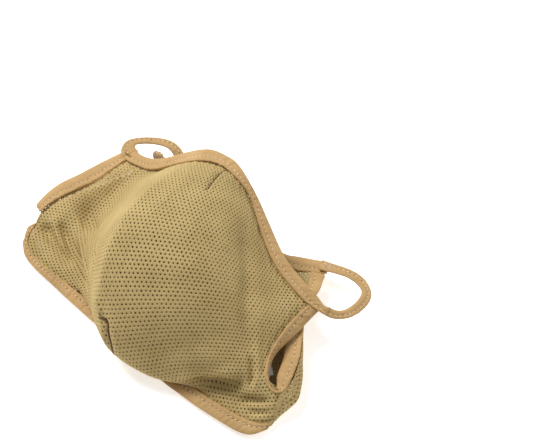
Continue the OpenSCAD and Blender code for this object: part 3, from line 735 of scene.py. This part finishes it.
face_mesh, face_mesh_r = knit(["face_mesh_left", "face_mesh_right"], face, (-0.2, 8.14, -0.25, 7.17), (0.45, 0.4, 0.5, 0.4), face_height, MESH, (47, 40), (0.5, 0.6), math.radians(5), 4.0)
back_right, = knit(["back_mesh_right"], side_r, (-0.02, 5.0, -0.12, 5.2), (0.3, 0.3, 0.4, 0.5), back_height, MESH, (40, 34), (0.45, 0.5))
back_left, = knit(["back_mesh_left"], side_l, (0.0, 5.02, -0.12, 5.2), (0.3, 0.3, 0.4, 0.5), back_height, MESH, (40, 34), (0.55, 0.5))


def lining(name, u0, u1, v0, v1, nu, nv, drop, thick):
    """The inner layer behind the cup, a closed thin cloth that follows the mesh; its side toward the mesh is dark brown
    painted shade, so the holes read dark.
    """
    uu, vv = np.meshgrid(np.linspace(u0, u1, nu), np.linspace(v0, v1, nv))
    uu, vv = uu.ravel(), vv.ravel()
    p, pu, pv = face.ev(uu, vv)
    nn = unit(np.cross(pu, pv))
    base = p + nn * (face_height(p, np.stack([uu, vv], 1)) - drop)[:, None]
    v = np.concatenate([base, base - nn * thick])
    idx = np.arange(nu * nv).reshape(nv, nu)
    top = np.stack([idx[:-1, :-1].ravel(), idx[:-1, 1:].ravel(), idx[1:, 1:].ravel(), idx[1:, :-1].ravel()], 1)
    low = top[:, ::-1] + nu * nv
    rim = np.concatenate([idx[0], idx[1:, -1], idx[-1, ::-1][1:], idx[::-1, 0][1:-1]])
    wall = np.stack([rim, rim + nu * nv, np.roll(rim, -1) + nu * nv, np.roll(rim, -1)], 1)
    # upper side: painted shade; underside and cut edge: the tan knit
    ob = make_object(name, v, np.concatenate([top, low, wall]), [LINING_SHADE, MESH])
    ob.data.polygons.foreach_set("material_index", [0] * len(top) + [1] * (len(low) + len(wall)))
    return ob


cup_lining_painted_shade = lining("cup_lining_painted_shade", 2.35, 8.05, 0.35, 7.10, 150, 130, 1.15, 0.35)

# ---------------------------------------------------------------- the tapes
nose, nose_track = tape("nose_binding_tape", NOSE_SEWN, NOSE_FREE, TAPE, 2.3, seed=3)
ear_r, ear_r_track = tape("ear_binding_right_tape", EAR_R_SEWN, EAR_R_FREE, TAPE, 2.0, seed=4, pucker=0.22)
ear_l, ear_l_track = tape("ear_binding_left_tape", EAR_L_SEWN, EAR_L_FREE, TAPE, 2.0, seed=5, pucker=0.22)
hem, hem_track = tape("hem_front_tape", HEM_SEWN, HEM_FREE, TAPE, 1.9, seed=6, pucker=0.24)
bh_r, bh_r_track = tape("back_hem_right_tape", BACKHEM_R_SEWN, BACKHEM_R_FREE, TAPE, 1.9, seed=7)
flip = lambda pts: [[-x, y, z] for x, y, z in pts][::-1]
bh_l, bh_l_track = tape("back_hem_left_tape", flip(BACKHEM_R_SEWN), flip(BACKHEM_R_FREE), TAPE, 1.9, seed=8)
nape_r, nape_r_track = tape("nape_binding_right_tape", NAPE_R_SEWN, NAPE_R_FREE, TAPE, 2.1, seed=9)
nape_l, nape_l_track = tape("nape_binding_left_tape", NAPE_L_SEWN, NAPE_L_FREE, TAPE, 2.1, seed=10)
loop_r, loop_r_track = tape("right_loop_tape", LOOP_R_OUT, LOOP_R_IN, TAPE, 2.2, seed=11, pucker=0.16)
loop_l, loop_l_track = tape("left_loop_tape", LOOP_L_OUT, LOOP_L_IN, TAPE, 2.2, seed=12, pucker=0.16)

st = {}
for key, track in (("nose", nose_track), ("ear_right", ear_r_track), ("ear_left", ear_l_track), ("hem", hem_track),
                   ("back_hem_right", bh_r_track), ("back_hem_left", bh_l_track), ("nape_right", nape_r_track),
                   ("nape_left", nape_l_track), ("right_loop", loop_r_track), ("left_loop", loop_l_track)):
    st[key] = stitches(key + "_stitches", track, (1, -1))


# ------------------------------------------------------------------- seams
def dart_line(line, n, h):
    uv = Curve([(u, v, 0) for u, v in line], shift=False).ev(np.linspace(0, len(line) - 1, n))
    p, pu, pv = face.ev(uv[:, 0], uv[:, 1])
    nn = unit(np.cross(pu, pv))
    return p + nn * (face_height(p, uv[:, :2]) + h)[:, None], nn


nd, nd_n = dart_line(NOSE_DART, 50, 0.12)
cd, cd_n = dart_line(CHIN_DART, 60, 0.42)


def seam_track(pts, nn, s=0.0):
    ss = np.concatenate([[0], np.cumsum(np.linalg.norm(np.diff(pts, axis=0), axis=1))])
    tan = unit(np.gradient(pts, axis=0))
    e = unit(np.cross(tan, nn))
    return (pts, nn, e, ss, np.full(len(ss), 8.0))


# the dart seams as thin dark brown tubes: their colour is painted shade of the folds
nose_dart = tube("nose_dart_shade_line", nd, 0.48, SEAM_SHADE, taper=True)
chin_dart = tube("chin_dart_shade_line", cd, 0.80, SEAM_SHADE, taper=True)

yy = np.linspace(-58, 46, 90)
cb = np.stack([np.zeros(90), yy, np.full(90, 0.9)], 1) + SHIFT
cbn = np.tile([0, 0, 1.0], (90, 1))
ridge = []
faces = []
prof = [(-2.6, 0.0), (-2.2, 0.5), (-1.2, 0.72), (-0.3, 0.55), (0.0, 0.28), (0.3, 0.5), (1.2, 0.62), (2.2, 0.42), (2.6, 0.0), (2.2, -0.5), (0, -0.62), (-2.2, -0.5)]
for k in range(90):
    for x, z in prof:
        ridge.append(cb[k] + [x + 0.12 * math.sin(k * 0.7), 0, z + 0.05 * math.sin(k * 1.9 + x)])
np_ = len(prof)
for k in range(89):
    for j in range(np_):
        j2 = (j + 1) % np_
        faces.append((np_ * k + j, np_ * k + j2, np_ * (k + 1) + j2, np_ * (k + 1) + j))
faces.append(tuple(range(np_ - 1, -1, -1)))
faces.append(tuple(np_ * 89 + j for j in range(np_)))
centre_seam = make_object("centre_back_seam_felled", ridge, faces, MESH)
centre_st = stitches("centre_back_seam_stitches", seam_track(cb + [1.3, 0, 0], cbn), (1,), high=0.6)

# ------------------------------------------------------------- bartacks, tails
D = np.array
tack_fl = bartack("front_bartack_left_thread", [-106.6, 41.2, 22.5], [-100.4, 41.2, 22.6], [0, 0, 1], 1.3, TACK, 5)
tack_fr = bartack("front_bartack_right_thread", [104.4, 28.6, 29.6], [105.6, 23.6, 29.4], [0, 0, 1], 1.0, TAPE, 5)
tack_bl = bartack("back_bartack_left_thread", [-79, 66.4, 10.2], [-77.4, 58.7, 9.4], [0, 0, 1], 1.8, TACK, 9)
tack_br = bartack("back_bartack_right_thread", [73.4, 63.6, 15.8], [79.4, 60.6, 16.6], [0, 0, 1], 1.6, THREAD, 8)


def tail(name, a, b, thick, seed):
    """A short raw end of tape, its cut edge frayed into separate yarns."""
    r = np.random.default_rng(seed)
    p, f = Curve(a), Curve(b)
    t = np.linspace(0, len(a) - 1, 14)
    pa, pb = p.ev(t), f.ev(t)
    mid = (pa + pb) / 2
    tan = unit(np.gradient(mid, axis=0))
    nn = unit(np.cross(tan, pb - pa))
    xs = np.linspace(0, 1, 9)
    ring = []
    for sgn in (1, -1):
        row = [pa + (pb - pa) * x + nn * (sgn * thick / 2 * (1 + 0.18 * math.sin(9 * x + seed))) for x in (xs if sgn > 0 else xs[::-1])]
        ring += row
    v = np.stack(ring, 1)
    n, m_ = v.shape[:2]
    idx = np.arange(n * m_).reshape(n, m_)
    faces = [tuple(q) for k in range(m_) for q in np.stack([idx[:-1, k], idx[1:, k], idx[1:, (k + 1) % m_], idx[:-1, (k + 1) % m_]], 1)]
    faces += [tuple(idx[0]), tuple(idx[-1][::-1])]
    verts = [tuple(q) for q in v.reshape(-1, 3)]
    slot = [0] * len(faces)
    for i in range(26):
        x = (i + 0.5) / 26
        root = pa[-1] + (pb[-1] - pa[-1]) * x
        d = tan[-1] + nn[-1] * r.normal(0, 0.35) + unit(pb[-1:] - pa[-1:])[0] * r.normal(0, 0.3)
        ln = r.uniform(0.7, 1.7)
        pts = [root - tan[-1] * 0.4, root + d * ln * 0.5, root + d * ln + D([0, 0, r.normal(0, 0.2)])]
        s1, s2 = unit((pb[-1:] - pa[-1:]))[0], nn[-1]
        o = len(verts)
        for q, rad in zip(pts, (0.2, 0.16, 0.07)):
            for j in range(4):
                a_ = math.pi / 2 * j
                verts.append(tuple(q + rad * (math.cos(a_) * s1 + math.sin(a_) * s2)))
        for k in range(2):
            for j in range(4):
                faces.append((o + 4 * k + j, o + 4 * k + (j + 1) % 4, o + 4 * k + 4 + (j + 1) % 4, o + 4 * k + 4 + j))
                slot.append(1)
        faces.append(tuple(o + 8 + j for j in range(4)))
        slot.append(1)
    # the whole tail takes the paler raw colour: partly its own tone, partly painted light
    ob = make_object(name, verts, faces, [RAW_AND_LIGHT, RAW_AND_LIGHT])
    ob.data.polygons.foreach_set("material_index", slot)
    return ob


tail_l = tail("tape_tail_left_raw", [[-91, 57, 12], [-92, 57, 15], [-92, 57.6, 18], [-91, 58.6, 20]],
              [[-84, 58, 12], [-84, 58, 15], [-84, 58.6, 18], [-83.4, 60, 20]], 1.1, 3)
tail_r = tail("tape_tail_right_raw", [[72, 65, 12], [74, 65.8, 12.4], [77, 66.4, 12.6]],
              [[73.4, 57.4, 11], [75.4, 58.2, 11.4], [78.4, 58.8, 11.6]], 1.1, 4)


# -------------------------------------------------------------------- label
def label_point(x, y, z):
    c, s = math.cos(math.radians(-40)), math.sin(math.radians(-40))
    return D([88 + c * x - s * y, -24 + s * x + c * y, 12 + z]) + SHIFT


def label():
    nx, ny = 18, 12
    verts, faces = [], []
    for k, off in enumerate((0.36, 0.02)):
        for i in range(nx + 1):
            for j in range(ny + 1):
                x, y = 0.6 + 14.4 * i / nx, -5 + 10 * j / ny
                z = off + 0.22 * math.sin(x * 0.32) * (x / 15) + 0.10 * math.sin(x * 0.9 + y * 0.5) * (x / 15)
                verts.append(label_point(x, y, z))
    w = ny + 1
    k0 = (nx + 1) * w
    for i in range(nx):
        for j in range(ny):
            a = i * w + j
            faces.append((a, a + w, a + w + 1, a + 1))
            faces.append((k0 + a, k0 + a + 1, k0 + a + w + 1, k0 + a + w))
    rim = [i * w for i in range(nx + 1)] + [nx * w + j for j in range(1, ny + 1)] + [i * w + ny for i in range(nx - 1, -1, -1)] + [j for j in range(ny - 1, 0, -1)]
    for a, b in zip(rim, rim[1:] + rim[:1]):
        faces.append((a, b, k0 + b, k0 + a))
    return make_object("blank_size_label", verts, faces, LABEL)


size_label = label()
ly = np.linspace(-5, 5, 24)
lp = np.array([label_point(-0.2, y, 0.75) for y in ly])
label_track = seam_track(lp, np.tile([0, 0, 1.0], (24, 1)))
label_st = stitches("label_stitches", label_track, (1,), high=0.0, pitch=2.4, rad=0.24)
bar = []
for y in ly:
    bar.append(label_point(-0.4, y, 0.2))
label_bar = tube("label_seam_edge", np.array(bar), 0.5, TAPE)

# ------------------------------------------------------------------- floor
bpy.ops.mesh.primitive_plane_add(size=6, location=(0, 0, -0.0002))
floor = bpy.context.object
floor.name = "floor"
fm = bpy.data.materials.new("floor_white")
fm.use_nodes = True
fb = fm.node_tree.nodes["Principled BSDF"]
fb.inputs["Base Color"].default_value = (0.95, 0.95, 0.95, 1)
fb.inputs["Roughness"].default_value = 0.9
fb.inputs["Emission Color"].default_value = (1, 1, 1, 1)
fb.inputs["Emission Strength"].default_value = 0.55
floor.data.materials.append(fm)

# the table under the mask is in its shade, so it doesn't glow through the holes
ring = [(-104, -52), (106, -52), (117.5, -44), (118, -33), (102, -8), (86, 16), (75, 45), (68, 52), (58, 53), (40, 47), (0, 43), (-40, 46), (-90, 50), (-106, 15), (-116, -12), (-119, -27), (-115, -42)]
sm = bpy.data.materials.new("floor_in_shade")
sm.use_nodes = True
sm.node_tree.nodes["Principled BSDF"].inputs["Base Color"].default_value = (0.74, 0.73, 0.71, 1)
sm.node_tree.nodes["Principled BSDF"].inputs["Roughness"].default_value = 0.9
shade = make_object("floor_shade", [D([x, y, -0.1]) + SHIFT for x, y in ring], [tuple(range(len(ring)))], sm)

# ------------------------------------------------------------------ bodies
for ob, nodes in ((face_mesh, ["face_panel"]), (face_mesh_r, []), (cup_lining_painted_shade, []), (nose, ["nose_binding"]), (ear_r, ["ear_binding_right"]), (ear_l, ["ear_binding_left"]),
                  (hem, ["front_hem", "hem_end_left", "hem_end_right"]), (nose_dart, ["nose_dart"]), (chin_dart, ["chin_dart"]),
                  (st["nose"], ["nose_topstitch"]), (st["hem"], ["hem_topstitch"]), (st["ear_left"], ["ear_topstitch_left"]),
                  (st["ear_right"], ["ear_topstitch_right"]), (tack_fl, ["front_bartack_left"]), (tack_fr, ["front_bartack_right"]),
                  (tack_bl, ["back_bartack_left"]), (tack_br, ["back_bartack_right"]), (tail_l, ["tape_tail_left"]),
                  (tail_r, ["tape_tail_right"]), (label_st, ["label_stitch"]), (label_bar, [])):
    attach(ob, "face")
    if nodes:
        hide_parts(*nodes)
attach(centre_seam, "back")
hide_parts("centre_back_seam")
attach(centre_st, "back")
# the loops' tapes and stitches are baked where they are drawn; the points just outside their sewn ends are worked out
# but not kept
for obs, body, point, axis, far in (((loop_r, st["right_loop"]), "right_loop", (105.8, 32.7, 28.0), (0.5771, -0.7694, 0.2739), (121.2, 54, 22)),
                                    ((loop_l, st["left_loop"]), "left_loop", (-109.1, 53.7, 20.7), (0.8252, 0.5066, -0.2497), (-93.8, 80, 18.4))):
    out = D(far) - D(point)
    out = unit(out - (out @ D(axis)) * D(axis))
    for ob in obs:
        tuple((D(point) - out) * MM)
        tuple((D(point) + 10 * out) * MM)
        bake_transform(ob)
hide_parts("right_ear_loop")
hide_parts("left_ear_loop")
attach(size_label, "label")
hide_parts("size_label")
for ob, nodes, sgn in ((back_right, ["back_panel", "side_panel_right"], 1), (back_left, ["side_panel_left"], -1),
                       (bh_r, ["back_hem"], 1), (bh_l, [], -1), (nape_r, ["nape_binding", "nape_end_right"], 1),
                       (nape_l, ["nape_end_left"], -1), (st["back_hem_right"], [], 1), (st["back_hem_left"], [], -1),
                       (st["nape_right"], [], 1), (st["nape_left"], [], -1)):
    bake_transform(ob)
    if nodes:
        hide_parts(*nodes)


# ----------------------------------------------------------- cut sizes and measured areas, printed
def measured(ob):
    me = ob.data
    me.calc_loop_triangles()
    n = len(me.vertices)
    co = np.empty(n * 3)
    me.vertices.foreach_get("co", co)
    co = co.reshape(-1, 3)
    tri = np.array([t.vertices[:] for t in me.loop_triangles])
    return float(np.linalg.norm(np.cross(co[tri[:, 1]] - co[tri[:, 0]], co[tri[:, 2]] - co[tri[:, 0]]), axis=1).sum() / 2)


tacks = [tack_fl, tack_fr, tack_bl, tack_br]
for ob in (face_mesh, face_mesh_r, back_right, back_left):
    w_, l_, a_ = ob["of_cut"]
    print("cut", ob.name, round(w_, 4), round(l_, 4), "area", round(a_, 6), "measured", round(measured(ob), 6))
print("lining measured", measured(cup_lining_painted_shade))
# binding tape 21 mm wide, folded over the cloth's edge to 10.5 mm
for ob, under, extra in ((nose, "face_mesh_left", [st["nose"]]), (ear_r, "face_mesh_right", [st["ear_right"]]), (ear_l, "face_mesh_left", [st["ear_left"]]),
                         (hem, "face_mesh_left", [st["hem"]]), (bh_r, "back_mesh_right", [st["back_hem_right"]]), (bh_l, "back_mesh_left", [st["back_hem_left"]]),
                         (nape_r, "back_mesh_right", [st["nape_right"]]), (nape_l, "back_mesh_left", [st["nape_left"]]),
                         (loop_r, "nose_binding_tape", [st["right_loop"], tail_r, tack_fr, tack_br]), (loop_l, "nose_binding_tape", [st["left_loop"], tail_l, tack_fl, tack_bl])):
    print("tape", ob.name, "length", round(ob["of_len"], 1), "ratio", round(measured(ob) / 2 / (0.0105 * ob["of_len"] * MM), 3))
print("label measured", measured(size_label))

# ------------------------------------------------------------------- lights
bpy.context.scene.view_settings.view_transform = "Standard"
bpy.context.scene.view_settings.look = "None"
world = bpy.data.worlds.new("studio") if not bpy.context.scene.world else bpy.context.scene.world
bpy.context.scene.world = world
world.use_nodes = True
bg = world.node_tree.nodes["Background"]
bg.inputs["Color"].default_value = (1, 1, 1, 1)
bg.inputs["Strength"].default_value = 0.28


def area_light(name, direction, dist, size, power, colour=(1, 1, 1)):
    d = unit(np.array(direction, float))
    pos = target + d * dist
    data = bpy.data.lights.new(name, "AREA")
    data.shape = "SQUARE"
    data.size = size
    data.energy = power
    data.color = colour
    ob = bpy.data.objects.new(name, data)
    bpy.context.scene.collection.objects.link(ob)
    ob.location = Vector(pos)
    ob.rotation_euler = Vector(-d).to_track_quat("-Z", "Y").to_euler()
    return ob


key = -0.45 * right + 0.80 * up + 0.42 * back
area_light("key", key, 1.6, 0.7, 25)
area_light("fill", 0.85 * right + 0.30 * up + 0.55 * back, 1.8, 1.4, 9)
